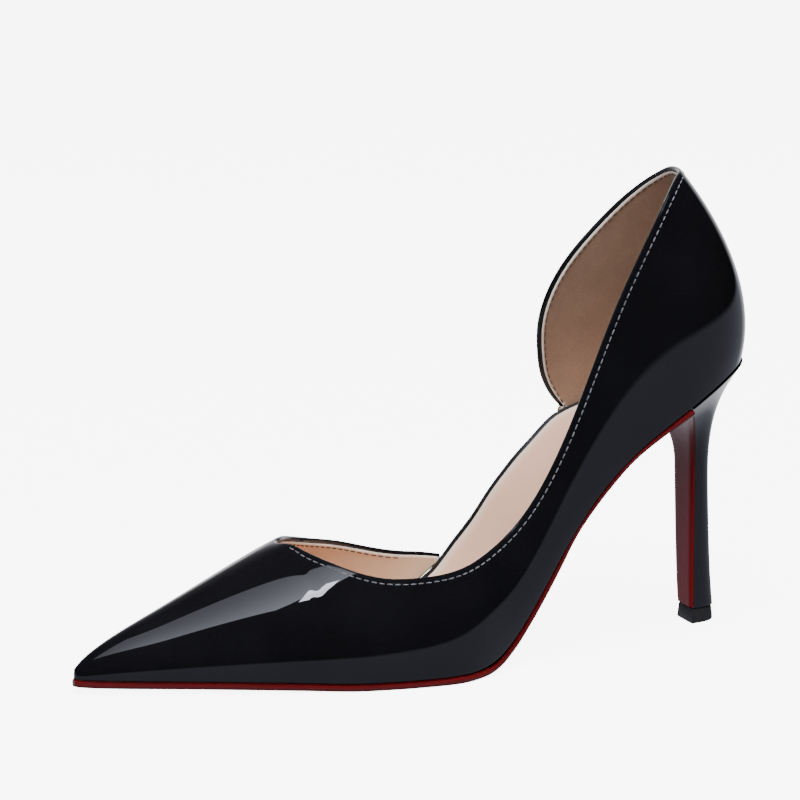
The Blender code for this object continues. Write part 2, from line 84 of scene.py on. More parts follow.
def smooth_table(rows):
    """Function that reads a table between its rows, through a curve that never overshoots a row."""
    data = np.array(rows, float)
    x, y = data[:, 0], data[:, 1:]
    h = np.diff(x)[:, None]
    slope = np.diff(y, axis=0) / h
    same = slope[:-1] * slope[1:] > 0
    w1, w2 = 2 * h[1:] + h[:-1], h[1:] + 2 * h[:-1]
    before, after = np.where(same, slope[:-1], 1.0), np.where(same, slope[1:], 1.0)
    tangent = np.zeros_like(y)
    tangent[1:-1] = np.where(same, (w1 + w2) / (w1 / before + w2 / after), 0.0)
    tangent[0], tangent[-1] = slope[0], slope[-1]

    def read(at):
        if at <= x[0]:
            return y[0]
        if at >= x[-1]:
            return y[-1]
        k = int(np.searchsorted(x, at)) - 1
        step = x[k + 1] - x[k]
        f = (at - x[k]) / step
        mix = f * f * (3 - 2 * f)
        bow = (1 - f) * tangent[k] - f * tangent[k + 1]
        return y[k] * (1 - mix) + y[k + 1] * mix + step * f * (1 - f) * bow

    return read


WIDTHS = {"ball": BALL_WIDTH / 2, "waist": WAIST_WIDTH / 2, "seat": SEAT_WIDTH / 2}
OUTLINE = (
    # along, outer, inner, of
    (0.000, 0.000, 0.000, "ball"),
    (0.009, 0.080, 0.080, "ball"),
    (0.026, 0.142, 0.135, "ball"),
    (0.065, 0.250, 0.228, "ball"),
    (0.129, 0.405, 0.385, "ball"),
    (0.216, 0.615, 0.600, "ball"),
    (0.302, 0.810, 0.800, "ball"),
    (0.379, 0.950, 0.925, "ball"),
    (0.435, 1.015, 0.950, "ball"),
    (0.491, 1.045, 0.865, "ball"),
    (0.534, 0.990, 0.740, "ball"),
    (0.586, 1.265, 0.980, "waist"),
    (0.647, 1.110, 0.890, "waist"),
    (0.711, 1.040, 0.890, "waist"),
    (0.780, 1.020, 0.950, "seat"),
    (0.853, 1.020, 0.980, "seat"),
)
PROFILE = (
    # along, spring, rise, twist, arch
    (0.000, 1.00, 0.000, 0.0, 0.0),
    (0.160, 0.72, 0.000, 0.0, 0.0),
    (0.284, 0.36, 0.000, 0.0, 0.0),
    (0.366, 0.00, 0.000, 0.3, 0.0),
    (0.470, 0.00, 0.000, 1.0, 0.0),
    (0.509, 0.00, 0.006, 1.0, 0.3),
    (0.534, 0.00, 0.023, 1.0, 0.7),
    (0.560, 0.00, 0.063, 1.0, 1.0),
    (0.588, 0.00, 0.132, 0.9, 1.0),
    (0.621, 0.00, 0.233, 0.8, 1.0),
    (0.647, 0.00, 0.328, 0.7, 1.0),
    (0.677, 0.00, 0.446, 0.6, 1.1),
    (0.707, 0.00, 0.538, 0.5, 1.3),
    (0.737, 0.00, 0.618, 0.4, 1.3),
    (0.772, 0.00, 0.701, 0.3, 1.1),
    (0.815, 0.00, 0.773, 0.1, 0.5),
    (0.862, 0.00, 0.842, 0.0, 0.0),
    (0.909, 0.00, 0.912, 0.0, 0.0),
    (0.957, 0.00, 0.970, 0.0, 0.0),
    (1.000, 0.00, 1.000, 0.0, 0.0),
)
read_outline = smooth_table([(math.sqrt(a), o * WIDTHS[of], i * WIDTHS[of]) for a, o, i, of in OUTLINE])
read_profile = smooth_table(PROFILE)


def half_width(side, u):
    outer, inner = read_outline(math.sqrt(max(u, 0.0) / LENGTH))
    return outer if side == OUTER else inner


def foot(side, station, inset=0.0):
    """Plan place of the feather line at a station along it, moved inward by inset."""
    half = half_width(side, min(station, SEAT_START))
    if station <= SEAT_START:
        return np.array([station, side * max(half - inset, 0.0)])
    turn = (station - SEAT_START) / SEAT_ROUND
    along = SEAT_START + (SEAT_ROUND - inset) * math.sin(turn)
    return np.array([along, side * (half - inset) * math.cos(turn)])


def bottom_height(u, v):
    """Height of the underside of the last."""
    spring, _, twist, arch = read_profile(u / LENGTH)
    rise = read_profile((u + ARCH_TWIST * twist * v / (BALL_WIDTH / 2)) / LENGTH)[1]
    lifted = 0.0
    if arch > 0 and v > 0:
        lifted = ARCH_RISE * arch * (v / half_width(INNER, min(u, SEAT_START))) ** 2
    return GAP + SOLE + TOE_SPRING * spring + (HEEL_HEIGHT - GAP - SOLE) * rise + lifted


def deck(u, v, lift):
    """Point over the bottom by lift, square to it. A negative lift is a depth under it."""
    reach = SLOPE_REACH
    along = (bottom_height(u + reach, v) - bottom_height(u - reach, v)) / (2 * reach)
    across = (bottom_height(u, v + reach) - bottom_height(u, v - reach)) / (2 * reach)
    up = np.array([-along, -across, 1.0])
    return np.array([u, v, bottom_height(u, v)]) + up / np.linalg.norm(up) * lift


def insole_insets(station):
    tuck = TOE_TUCK * max(1 - station / TOE_TUCK_END, 0.0)
    inside = WALL + GAP + tuck
    into = min(max((station - OPEN_FROM) / CUT_STEP, 0.0), 1.0)
    out = min(max((OPEN_TO - station) / CUT_STEP, 0.0), 1.0)
    return {OUTER: inside, INNER: inside + (CUT_EDGE - inside) * min(into, out)}


def plate_rings(first, last, insets, edge):
    """Rings of a plate along the shoe. Edge rows are lift and outset, from its top to its underside."""
    rings = []
    for n in range(PLATE_STEPS + 1):
        station = first + (last - first) * n / PLATE_STEPS
        inset, rows = insets(station), edge(station)
        ring = []
        for lift, outset, first_side in ((*rows[0], OUTER), (*rows[-1], INNER)):
            if first_side == INNER:
                ring += [deck(*foot(INNER, station, inset[INNER] - out), up) for up, out in rows[1:-1]]
            start = foot(first_side, station, inset[first_side] - outset)
            end = foot(-first_side, station, inset[-first_side] - outset)
            for k in range(ACROSS_STEPS + 1):
                u, v = start + (end - start) * k / ACROSS_STEPS
                ring.append(deck(u, v, lift))
        ring += [deck(*foot(OUTER, station, inset[OUTER] - out), up) for up, out in reversed(rows[1:-1])]
        rings.append(ring)
    return np.array(rings)


def insole_edge(station):
    """Section of the board's edge, with the wrapping's low bead on top of it."""
    return (
        (INSOLE, -2.2),
        (INSOLE + 0.3, -1.7),
        (INSOLE + 0.55, -1.1),
        (INSOLE + 0.45, -0.5),
        (INSOLE + 0.1, -0.1),
        (INSOLE * 0.75, 0.0),
        (INSOLE * 0.35, 0.0),
        (BED - GAP, -GAP),
    )


insole_rings = plate_rings(INSOLE_TOE, SEAT_PLATE_END, insole_insets, insole_edge)
home = np.array(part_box("insole")[0]) / MM - insole_rings.reshape(-1, 3).min(axis=0)
home[2] = 0.0


def close_loft(name, rings, smooth=BOARD_SMOOTH):
    """Closed body through rings of points in the shoe's own places."""
    bm = bmesh.new()
    rows = [[bm.verts.new(Vector(point + home) * MM) for point in ring] for ring in rings]
    count = len(rows[0])
    for row, after in zip(rows, rows[1:]):
        for k in range(count):
            bm.faces.new((row[k], row[(k + 1) % count], after[(k + 1) % count], after[k]))
    bm.faces.new(rows[0])
    bm.faces.new(rows[-1])
    bmesh.ops.recalc_face_normals(bm, faces=bm.faces)
    mesh = bpy.data.meshes.new(name)
    bm.to_mesh(mesh)
    bm.free()
    mesh.shade_smooth()
    mesh.set_sharp_from_angle(angle=math.radians(smooth))
    piece = bpy.data.objects.new(name, mesh)
    bpy.context.scene.collection.objects.link(piece)
    return piece


class Wire:
    """A socket in a finish. Arithmetic on it adds Math nodes to that finish."""

    def __init__(self, finish, socket):
        self.finish, self.socket = finish, socket

    def maths(self, operation, *values):
        return self.finish.node("ShaderNodeMath", {"operation": operation}, dict(enumerate(values)))

    def __add__(self, other):
        return self.maths("ADD", self, other)

    def __sub__(self, other):
        return self.maths("SUBTRACT", self, other)

    def __rsub__(self, other):
        return self.maths("SUBTRACT", other, self)

    def __mul__(self, other):
        return self.maths("MULTIPLY", self, other)

    def __pow__(self, other):
        return self.maths("POWER", self, other)

    __radd__ = __add__
    __rmul__ = __mul__

    def held(self):
        """The same value held between 0 and 1."""
        settings = {"operation": "MULTIPLY", "use_clamp": True}
        return self.finish.node("ShaderNodeMath", settings, {0: self, 1: 1.0})


class Finish:
    """A material on the Principled shader, with the sockets that stay the same all over set first."""

    def __init__(self, name, **fixed):
        self.material = bpy.data.materials.new(name)
        self.material.use_nodes = True
        self.tree = self.material.node_tree
        self.shader = self.tree.nodes["Principled BSDF"]
        for socket, value in fixed.items():
            self.shader.inputs[socket.replace("_", " ")].default_value = value
        self.place = self.node("ShaderNodeTexCoord", output="Object")

    def node(self, kind, settings=None, inputs=None, output=0):
        """A node with its settings, then its inputs, each of them a value or a wire."""
        made = self.tree.nodes.new(kind)
        for key, value in (settings or {}).items():
            setattr(made, key, value)
        for key, value in (inputs or {}).items():
            if isinstance(value, Wire):
                self.tree.links.new(value.socket, made.inputs[key])
            else:
                made.inputs[key].default_value = value
        return Wire(self, made.outputs[output])

    def noise(self, scale, detail=3.0, roughness=0.5, at=None):
        inputs = {"Vector": at or self.place, "Scale": scale, "Detail": detail, "Roughness": roughness}
        return self.node("ShaderNodeTexNoise", None, inputs)

    def stretched(self, x, y, z):
        inputs = {0: self.place, 1: (x, y, z)}
        return self.node("ShaderNodeVectorMath", {"operation": "MULTIPLY"}, inputs)

    def blend(self, share, low, high):
        """Colour between two others, each of them a colour or a wire."""
        low, high = (end if isinstance(end, Wire) else (*end, 1.0) for end in (low, high))
        return self.node("ShaderNodeMix", {"data_type": "RGBA"}, {0: share, 6: low, 7: high}, 2)

    def share(self, name):
        """A value from 0 to 1 kept on the mesh's own points."""
        return self.node("ShaderNodeAttribute", {"attribute_name": name}, None, "Fac")

    def feed(self, **wires):
        for socket, wire in wires.items():
            self.tree.links.new(wire.socket, self.shader.inputs[socket.replace("_", " ")])

    def emboss(self, height, distance, strength=1.0, under=None):
        inputs = {"Height": height, "Distance": distance, "Strength": strength}
        if under:
            inputs["Normal"] = under
        return self.node("ShaderNodeBump", None, inputs)


def wrapped_board():
    finish = Finish("wrapped_board", Roughness=0.3, Coat_Weight=0.3, Coat_Roughness=0.15)
    grain = finish.noise(1400.0, 4.0)
    finish.feed(Base_Color=finish.blend(finish.noise(120.0), (0.006, 0.006, 0.007), (0.016, 0.015, 0.016)))
    finish.feed(Roughness=0.26 + 0.14 * grain, Normal=finish.emboss(grain, 0.00006))
    return finish.material


def finish_piece(piece, material, slot, *nodes):
    """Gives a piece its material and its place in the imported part."""
    piece.data.materials.append(material)
    if nodes:
        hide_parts(*nodes)
    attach(piece, "root")


insole = close_loft("insole_board", insole_rings)
finish_piece(insole, wrapped_board(), "wrapped_board", "insole")


# Upper. One shell of black patent leather, lasted over the insole: a pointed vamp with a soft ridge, an
# outer side that runs closed to the counter, and a quarter on the arch side behind the cut-away. Its
# top edge is folded in and stitched.

INSTEP_HEIGHT = 40.0
COUNTER_HEIGHT = 63.5
COUNTER_LEAN = 25.0
SIDE_SWELL = 6.0
LEAN_HANDLE = 0.64
RIBS = (
    # along, lean, reach, height, of, swell, steep, spread, drop
    (0.000, 0.00, 0.00, 0.060, "instep", 0.00, 0.40, 0.50, 0.35),
    (0.008, 0.00, 0.00, 0.124, "instep", 0.05, 0.45, 0.55, 0.15),
    (0.024, 0.00, 0.00, 0.200, "instep", 0.10, 0.50, 0.52, 0.07),
    (0.048, 0.00, 0.00, 0.292, "instep", 0.15, 0.50, 0.50, 0.05),
    (0.119, 0.00, 0.00, 0.506, "instep", 0.25, 0.50, 0.50, 0.05),
    (0.279, 0.00, 0.00, 1.000, "instep", 0.35, 0.48, 0.52, 0.05),
    (0.338, 0.00, 0.00, 1.170, "instep", 0.40, 0.46, 0.54, 0.05),
    (0.398, 0.00, 0.02, 1.320, "instep", 0.45, 0.44, 0.54, 0.07),
    (0.457, 0.00, 0.20, 1.400, "instep", 0.50, 0.42, 0.46, 0.12),
    (0.517, 0.02, 0.48, 0.840, "counter", 0.55, 0.40, 0.32, 0.24),
    (0.577, 0.06, 0.68, 0.770, "counter", 0.60, 0.38, 0.20, 0.32),
    (0.636, 0.13, 0.76, 0.800, "counter", 0.65, 0.36, 0.13, 0.34),
    (0.696, 0.24, 0.77, 0.930, "counter", 0.75, 0.35, 0.10, 0.34),
    (0.756, 0.40, 0.75, 1.080, "counter", 0.85, 0.35, 0.08, 0.32),
    (0.815, 0.60, 0.73, 1.150, "counter", 0.95, 0.35, 0.06, 0.30),
    (0.875, 0.82, 0.73, 1.110, "counter", 1.00, 0.35, 0.03, 0.28),
    (0.935, 0.95, 0.75, 1.050, "counter", 1.00, 0.35, 0.01, 0.27),
    (1.000, 1.00, 0.76, 1.020, "counter", 1.00, 0.35, 0.00, 0.27),
)
OUTER_EDGE = (
    # along, cut
    (0.281, 1.000),
    (0.284, 0.915),
    (0.290, 0.820),
    (0.302, 0.730),
    (0.327, 0.610),
    (0.358, 0.510),
    (0.396, 0.460),
    (0.434, 0.455),
    (0.472, 0.490),
    (0.520, 0.610),
    (0.560, 0.655),
    (0.600, 0.640),
    (0.640, 0.645),
    (0.673, 0.710),
    (0.720, 0.775),
    (0.770, 0.815),
    (0.820, 0.870),
    (0.870, 0.920),
    (0.920, 0.960),
    (1.000, 0.980),
)
INNER_VAMP_EDGE = (
    # along, cut
    (0.281, 1.000),
    (0.284, 0.915),
    (0.290, 0.820),
    (0.302, 0.730),
    (0.330, 0.600),
    (0.358, 0.510),
    (0.400, 0.435),
    (0.440, 0.365),
    (0.472, 0.295),
    (0.500, 0.205),
    (0.523, 0.110),
    (0.541, 0.030),
)
INNER_QUARTER_EDGE = (
    # order, foot, top, cut
    (0.00, 0.716, 0.713, 0.030),
    (0.06, 0.721, 0.699, 0.125),
    (0.11, 0.727, 0.688, 0.250),
    (0.16, 0.733, 0.681, 0.375),
    (0.21, 0.740, 0.679, 0.500),
    (0.26, 0.748, 0.678, 0.620),
    (0.31, 0.757, 0.682, 0.710),
    (0.36, 0.768, 0.695, 0.762),
    (0.43, 0.786, 0.722, 0.792),
    (0.51, 0.812, 0.765, 0.800),
    (0.60, 0.850, 0.815, 0.805),
    (0.70, 0.890, 0.865, 0.835),
    (0.80, 0.930, 0.915, 0.895),
    (0.90, 0.970, 0.962, 0.955),
    (1.00, 1.000, 1.000, 0.980),
)
TALL = {"instep": INSTEP_HEIGHT, "counter": COUNTER_HEIGHT}
THROAT = OUTER_EDGE[0][0]
WING_END = INNER_VAMP_EDGE[-1][0]
VAMP_STEPS = 60
WING_STEPS = 40
SIDE_STEPS = 130
QUARTER_STEPS = 80
RIB_STEPS = 22
RIB_DENSE = 28
EDGE_ROW = 0.9
FOOT_ROW = 0.7
VAMP_CROWD = 1.7
SIDE_CROWD = 1.5
END_SHARE = 0.1
EASE_PASSES = 26
EASE_ENDS = 36
EASE_PULL = 0.5
TINY = 1e-9
MERGE = 0.002

read_ribs = smooth_table([row[:3] + (row[3] * TALL[row[4]],) + row[5:] for row in RIBS])
read_outer_edge = smooth_table(OUTER_EDGE)
read_wing_edge = smooth_table(INNER_VAMP_EDGE)
read_quarter_edge = smooth_table(INNER_QUARTER_EDGE)


def outward(side, station):
    """Plan direction out of the shoe: straight across, then turning to the back round the seat."""
    if station <= SEAT_START:
        return np.array([0.0, side, 0.0])
    turn = (station - SEAT_START) / SEAT_ROUND
    way = np.array([math.sin(turn) / SEAT_ROUND, side * math.cos(turn) / half_width(side, SEAT_START), 0.0])
    return way / np.linalg.norm(way)


def rib(side, station):
    """Four control points of the rib that rises from the feather line at a station."""
    lean, reach, height, swell, steep, spread, drop = read_ribs(station / STATION_END)
    u, v = foot(side, station)
    start = np.array([u, v, bottom_height(u, v)])
    shift = lean * COUNTER_LEAN
    end = np.array([u - shift, v * reach, start[2] + height])
    out = outward(side, station)
    rise = start + out * swell * SIDE_SWELL + np.array([0.0, 0.0, steep * height])
    handle = np.array([shift * LEAN_HANDLE, 0.0, -drop * height])
    return start, rise, end + out * spread * abs(v) + handle, end


def on_rib(points, t):
    a, b, c, d = points
    s = 1 - t
    return a * s ** 3 + b * 3 * s * s * t + c * 3 * s * t * t + d * t ** 3


def along_row(row, place):
    """Point of a row of points at a length along it."""
    steps = np.linalg.norm(np.diff(row, axis=0), axis=1)
    length = np.concatenate(([0.0], np.cumsum(steps)))
    return np.array([np.interp(place, length, row[:, axis]) for axis in range(3)])


def row_length(row):
    return float(np.linalg.norm(np.diff(row, axis=0), axis=1).sum())


def rib_row(side, low, top, cut):
    """Points of one rib from its foot to its top edge, close together at both."""
    dense = []
    same = rib(side, low) if abs(top - low) < TINY else None
    for k in range(RIB_DENSE + 1):
        way = k / RIB_DENSE
        points = same or rib(side, low + (top - low) * way)
        dense.append(on_rib(points, cut * way))
    dense = np.array(dense)
    length = row_length(dense)
    foot_row, edge_row = min(FOOT_ROW, length * END_SHARE), min(EDGE_ROW, length * END_SHARE)
    middle = np.linspace(foot_row, length - edge_row, RIB_STEPS - 1)
    return np.array([along_row(dense, place) for place in (0.0, *middle, length)])


def upper_ribs():
    """Ribs in order: arch side wing of the vamp, toe, closed outer side, heel, arch side quarter."""
    vamp = [THROAT * (k / VAMP_STEPS) ** VAMP_CROWD for k in range(VAMP_STEPS + 1)]
    wing = [THROAT + (WING_END - THROAT) * (k / WING_STEPS) ** SIDE_CROWD for k in range(1, WING_STEPS + 1)]
    side = [THROAT + (1 - THROAT) * (k / SIDE_STEPS) ** SIDE_CROWD for k in range(1, SIDE_STEPS + 1)]
    strip = [(INNER, along, along, read_wing_edge(along)[0]) for along in reversed(wing)]
    strip += [(INNER, along, along, 1.0) for along in reversed(vamp[1:])]
    strip += [(OUTER, along, along, 1.0) for along in vamp]
    strip += [(OUTER, along, along, read_outer_edge(along)[0]) for along in side]
    for k in range(1, QUARTER_STEPS + 1):
        low, top, cut = read_quarter_edge(1 - k / QUARTER_STEPS)
        strip.append((INNER, low, top, cut))
    end = STATION_END
    return np.array([rib_row(way, low * end, top * end, cut) for way, low, top, cut in strip])


def join_ridge(grid):
    """Makes the two sides of the vamp share the points of its ridge."""
    tip = WING_STEPS + VAMP_STEPS
    for k in range(1, VAMP_STEPS + 1):
        middle = (grid[tip - k, -1] + grid[tip + k, -1]) / 2
        grid[tip - k, -1] = grid[tip + k, -1] = middle


def ease(grid, passes):
    """Draws the leather even along the shoe, as it lies when it is pulled over the last."""
    last = len(grid) - 1
    hold = np.array([min(1.0, min(k, last - k) / EASE_ENDS) for k in range(1, last)])[:, None, None]
    for _ in range(passes):
        middle = (grid[:-2] + grid[2:]) / 2
        grid[1:-1] += (middle - grid[1:-1]) * EASE_PULL * hold
    join_ridge(grid)
    return grid


def out_of(grid):
    """Unit directions out of the shoe at each point of the grid."""
    way = np.cross(np.gradient(grid, axis=0), np.gradient(grid, axis=1))
    return way / np.maximum(np.linalg.norm(way, axis=2, keepdims=True), TINY)


def open_sheet(name, grid):
    """Sheet through a grid of points in the shoe's own places."""
    bm = bmesh.new()
    rows = [[bm.verts.new(Vector(point + home) * MM) for point in row] for row in grid]
    for row, after in zip(rows, rows[1:]):
        for a, b, c, d in zip(row, after, after[1:], row[1:]):
            bm.faces.new((a, b, c, d))
    bmesh.ops.remove_doubles(bm, verts=bm.verts, dist=MERGE * MM)
    mesh = bpy.data.meshes.new(name)
    bm.to_mesh(mesh)
    bm.free()
    mesh.shade_smooth()
    piece = bpy.data.objects.new(name, mesh)
    bpy.context.scene.collection.objects.link(piece)
    return piece


def thicken(piece, thickness):
    """Gives a sheet its thickness, inward, and rounds its edges."""
    wall = piece.modifiers.new("Wall", "SOLIDIFY")
    wall.thickness = thickness * MM
    wall.offset = -1.0
    wall.use_even_offset = False
    turn = piece.modifiers.new("Turned edges", "SUBSURF")
    turn.levels = turn.render_levels = 1


def patent(name):
    """Black leather with a very faint ripple, under a smooth clear lacquer."""
    finish = Finish(name, Roughness=0.22, Specular_IOR_Level=0.0, Coat_Weight=1.0, Coat_Roughness=0.015)
    ripple = finish.noise(90.0, 2.0)
    peel = finish.noise(420.0, 2.0)
    finish.feed(Base_Color=finish.blend(finish.noise(60.0), (0.004, 0.004, 0.005), (0.008, 0.008, 0.010)))
    finish.feed(Roughness=0.16 + 0.12 * peel)
    finish.feed(Normal=finish.emboss(ripple, 0.0004, 0.35))
    return finish.material


upper_grid = ease(upper_ribs(), EASE_PASSES)
upper = open_sheet("upper_shell", upper_grid)
thicken(upper, WALL)
patent_leather = patent("patent_leather")
finish_piece(upper, patent_leather, "patent_leather", "upper")


# Linings. Smooth tan leather under the vamp and taupe suede in the quarters, glued to the shell just
# below its folded edge, so that a thin pale cut edge runs round the mouth of the shoe.

LINING = 0.5
LINING_GAP = 0.06
LINING_DROP = 1.0
LINING_FOOT = 0.6
QUARTER_LINING_FROM = 0.44
LINING_ROWS = 22
LINING_LIP = 0.45
SLANT_LEAST = 0.2
SLANT_MOST = 0.8
SMALL_AREA = 1e-6
EDGE_PALE = 0.9
EDGE_SHARP = 2.2
upper_out = out_of(upper_grid)
TIP = WING_STEPS + VAMP_STEPS
is_ridge = [abs(k - TIP) <= VAMP_STEPS for k in range(len(upper_grid))]


def slanted(k, drop):
    """Length back along a rib that leaves a distance from the top edge, where it crosses at a slant too."""
    rib_way = upper_grid[k, -1] - upper_grid[k, -4]
    after, before = min(k + 1, len(upper_grid) - 1), max(k - 1, 0)
    edge_way = upper_grid[after, -1] - upper_grid[before, -1]
    crossing = np.linalg.norm(np.cross(rib_way, edge_way))
    sine = crossing / max(np.linalg.norm(rib_way) * np.linalg.norm(edge_way), SMALL_AREA)
    return min(drop / max(sine, SLANT_LEAST), row_length(upper_grid[k]) * SLANT_MOST)


def lining_grid(first, last):
    """Rows of points of a lining behind some of the upper's ribs, with two close rows at its top."""
    rows = []
    for k in range(first, last):
        inner = upper_grid[k] - upper_out[k] * (WALL + LINING_GAP)
        length = row_length(inner)
        top = length if is_ridge[k] else length - slanted(k, LINING_DROP)
        lip = min(LINING_LIP, top * 0.2)
        low = min(LINING_FOOT, top * 0.3)
        places = (*np.linspace(low, top - 2 * lip, LINING_ROWS), top - lip, top)
        rows.append([along_row(inner, place) for place in places])
    return np.array(rows)


def mark_edge(piece, rows):
    """Keeps on the lining's points how near they are to its cut top edge."""
    share = piece.data.attributes.new("edge", "FLOAT", "POINT")
    tops = np.array([row[-1] for row in rows])
    values = []
    for vertex in piece.data.vertices:
        near = np.linalg.norm(tops + home - np.array(vertex.co) / MM, axis=1).min()
        values.append(max(1 - near / EDGE_PALE, 0.0))
    share.data.foreach_set("value", values)


def tan_leather():
    finish = Finish("tan_lining", Roughness=0.45, Specular_IOR_Level=0.4)
    pores = finish.noise(1800.0, 3.0)
    creases = finish.noise(40.0, 4.0, 0.6)
    body = finish.blend(creases, (0.58, 0.38, 0.24), (0.74, 0.53, 0.36))
    finish.feed(Base_Color=finish.blend((finish.share("edge") * EDGE_SHARP).held(), body, (0.88, 0.74, 0.62)))
    grain = finish.emboss(pores, 0.00008)
    finish.feed(Roughness=0.36 + 0.2 * pores, Normal=finish.emboss(creases, 0.0006, 0.5, grain))
    return finish.material


def taupe_suede():
    finish = Finish(
        "taupe_suede", Roughness=0.9, Specular_IOR_Level=0.2, Sheen_Weight=0.35, Sheen_Roughness=0.4
    )
    nap = finish.noise(1300.0, 4.0, 0.75)
    drift = finish.noise(70.0, 3.0, 0.6)
    body = finish.blend(0.5 * nap + 0.5 * drift, (0.14, 0.080, 0.050), (0.42, 0.27, 0.185))
    finish.feed(Base_Color=finish.blend((finish.share("edge") * EDGE_SHARP).held(), body, (0.88, 0.76, 0.66)))
    finish.feed(Roughness=0.8 + 0.18 * nap, Normal=finish.emboss(nap, 0.00018))
    return finish.material


side_ribs = range(TIP, len(upper_grid))
join = next(k for k in side_ribs if upper_grid[k, 0, 0] > QUARTER_LINING_FROM * LENGTH)
vamp_rows = lining_grid(0, join + 1)
for k in range(1, VAMP_STEPS + 1):
    middle = (vamp_rows[TIP - k, -1] + vamp_rows[TIP + k, -1]) / 2
    vamp_rows[TIP - k, -1] = vamp_rows[TIP + k, -1] = middle
vamp_lining = open_sheet("vamp_lining", vamp_rows)
mark_edge(vamp_lining, [row for row, ridge in zip(vamp_rows, is_ridge) if not ridge])
thicken(vamp_lining, LINING)
finish_piece(vamp_lining, tan_leather(), "sock_leather")
quarter_rows = lining_grid(join, len(upper_grid))
quarter_lining = open_sheet("quarter_lining", quarter_rows)
mark_edge(quarter_lining, quarter_rows)
thicken(quarter_lining, LINING)
finish_piece(quarter_lining, taupe_suede(), "sock_leather")


# Stitching. A single row of black thread runs 2 mm below the folded edge, along the outer side, round the
# heel and the quarter, and along the wing of the vamp. Its grey colour with pale bluish flecks is a painted
# highlight standing in for the glints on the black thread. Its brown under-thread shows on the lining.

STITCH_DROP = 2.1
STITCH_PITCH = 2.5
STITCH_LENGTH = 1.9
STITCH_WIDE = 0.5
STITCH_HIGH = 0.28
STITCH_SIDES = 6
STITCH_START = 0.3
THROAT_SKIP = 2
WING_SKIP = 4
THREAD_SINK = 0.02
UNDER_THREAD_DEPTH = WALL + LINING + 0.08
STITCH_RINGS = ((0.0, 0.25), (0.1, 0.8), (0.5, 1.0), (0.9, 0.8), (1.0, 0.25))


def edge_line(rows, drop, depth):
    """Line at a distance below the top edge of these ribs, and its directions out of the shoe."""
    line, ways = [], []
    for k in rows:
        length = row_length(upper_grid[k])
        line.append(along_row(upper_grid[k], length - slanted(k, drop)) - upper_out[k, -3] * depth)
        ways.append(upper_out[k, -3])
    return np.array(line), np.array(ways)


def stitch_row(name, lines):
    """Short raised bars of thread, set along each line at an even pitch."""
    bm = bmesh.new()
    for line, ways in lines:
        length = row_length(line)
        for n in range(int((length - STITCH_LENGTH) / STITCH_PITCH)):
            begin = STITCH_PITCH * (n + STITCH_START)
            a, b = along_row(line, begin), along_row(line, begin + STITCH_LENGTH)
            nearest = int(np.argmin(np.linalg.norm(line - a, axis=1)))
            up = Vector(ways[nearest])
            along = Vector(b - a)
            across = along.cross(up).normalized()
            rings = []
            for share, swell in STITCH_RINGS:
                middle = Vector(a + (b - a) * share + home)
                ring = []
                for s in range(STITCH_SIDES):
                    turn = 2 * math.pi * s / STITCH_SIDES
                    offset = across * math.cos(turn) * STITCH_WIDE / 2 + up * math.sin(turn) * STITCH_HIGH
                    ring.append(bm.verts.new((middle + offset * swell) * MM))
                rings.append(ring)
            for ring, after in zip(rings, rings[1:]):
                for s in range(STITCH_SIDES):
                    t = (s + 1) % STITCH_SIDES
                    bm.faces.new((ring[s], ring[t], after[t], after[s]))
            bm.faces.new(reversed(rings[0]))
            bm.faces.new(rings[-1])
    mesh = bpy.data.meshes.new(name)
    bmesh.ops.recalc_face_normals(bm, faces=bm.faces)
    bm.to_mesh(mesh)
    bm.free()
    mesh.shade_smooth()
    piece = bpy.data.objects.new(name, mesh)
    bpy.context.scene.collection.objects.link(piece)
    return piece


def thread(name, dark, light, roughness):
    finish = Finish(name, Roughness=roughness, Specular_IOR_Level=0.5)
    inputs = {"Vector": finish.place, "Scale": 900.0}
    twist = finish.node("ShaderNodeTexWave", {"bands_direction": "DIAGONAL"}, inputs)
    # For the top thread the pale colour of this blend is a painted highlight, the glints on black thread; for
    # the under-thread it is its own tone.
    finish.feed(Base_Color=finish.blend(finish.noise(900.0), dark, light))
    finish.feed(Roughness=roughness - 0.1 + 0.2 * finish.noise(500.0), Normal=finish.emboss(twist, 0.00005))
    return finish.material


edge_rows = list(range(TIP + VAMP_STEPS + THROAT_SKIP, len(upper_grid)))
wing_rows = list(range(WING_STEPS - THROAT_SKIP, WING_SKIP, -1))
outside = [edge_line(rows, STITCH_DROP, THREAD_SINK) for rows in (edge_rows, wing_rows)]
inside = [edge_line(rows, STITCH_DROP, UNDER_THREAD_DEPTH) for rows in (edge_rows, wing_rows)]
top_stitches = stitch_row("top_stitches", outside)
# The top thread's colour, near black to pale bluish grey in flecks, is a painted highlight: glints on black
# thread.
black_thread_painted_glints = thread("black_thread_painted_glints", (0.03, 0.03, 0.035), (0.34, 0.35, 0.39), 0.28)
finish_piece(top_stitches, black_thread_painted_glints, "patent_leather")
under_stitches = stitch_row("under_stitches", inside)
brown_thread = thread("brown_thread", (0.06, 0.03, 0.02), (0.14, 0.08, 0.05), 0.6)
finish_piece(under_stitches, brown_thread, "sock_leather")


# Sock. A sheet of smooth pinkish beige leather glued down over the insole, a margin in from its edge,
# paler along its pressed rim. The place that is often stamped is left bare.

SOCK = 0.9
SOCK_TOE = 16.0
SOCK_MARGIN = 1.9
SOCK_RIM = 2.5
SOCK_SINK = 0.35


def sock_insets(station):
    insets = insole_insets(station)
    return {side: insets[side] + SOCK_MARGIN for side in insets}


def sock_edge(station):
    low = INSOLE - SOCK_SINK
    return ((low + SOCK, -0.8), (low + SOCK - 0.1, -0.25), (low + SOCK * 0.5, 0.0), (low, 0.0))


